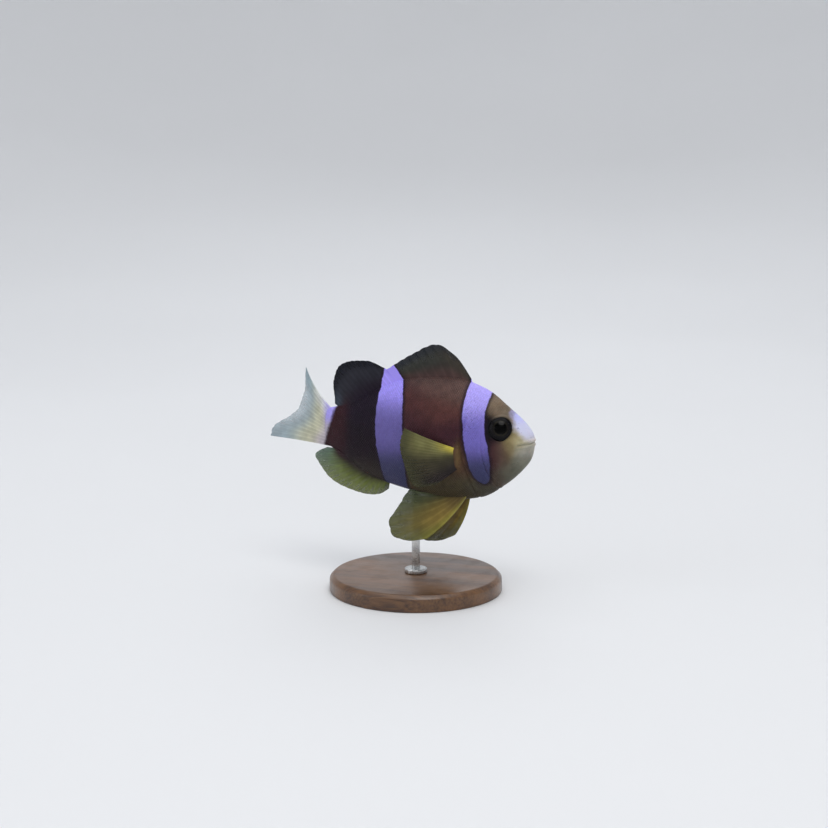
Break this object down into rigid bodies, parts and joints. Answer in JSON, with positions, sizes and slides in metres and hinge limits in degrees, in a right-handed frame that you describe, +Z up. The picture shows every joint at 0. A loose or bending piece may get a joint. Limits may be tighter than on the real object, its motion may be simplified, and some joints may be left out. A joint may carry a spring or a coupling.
{
  "type": "clownfish model",
  "caption": "Life-size still model of a Clark's anemonefish, swimming with its tail turned to the left, held by a rod on a round display base.",
  "frame": {"origin": "centre of the stand base's underside, straight below the rod", "axes": "+X from tail to snout, +Y to the fish's left, +Z up"},
  "size_m": [0.0883, 0.052, 0.0741],
  "materials": {
    "flank": "dark maroon-brown scales, satin",
    "face": "golden-brown skin, satin",
    "bar": "pale lavender-white scales, satin",
    "fin_dark": "smoky grey-brown fin, rayed",
    "fin_yellow": "olive-yellow translucent fin, rayed",
    "fin_white": "white fin, clearing to its edge, rayed",
    "eye": "wet black eye, high gloss",
    "wood": "dark walnut, satin",
    "steel": "brushed"
  },
  "bodies": {
    "root": {"head": "face", "lower_jaw": "face", "gill_cover_left": "bar", "gill_cover_right": "bar", "eye_left": "eye", "eye_right": "eye", "trunk": "flank", "tail_stalk": "flank", "dorsal_fin_spiny": "fin_dark", "dorsal_fin_soft": "fin_dark", "anal_fin": "fin_yellow", "tail_fin": "fin_white", "pectoral_fin_left": "fin_yellow", "pectoral_fin_right": "fin_yellow", "pelvic_fin_left": "fin_yellow", "pelvic_fin_right": "fin_yellow", "stand_base": "wood", "stand_collar": "steel", "stand_rod": "steel"}
  },
  "joints": []
}
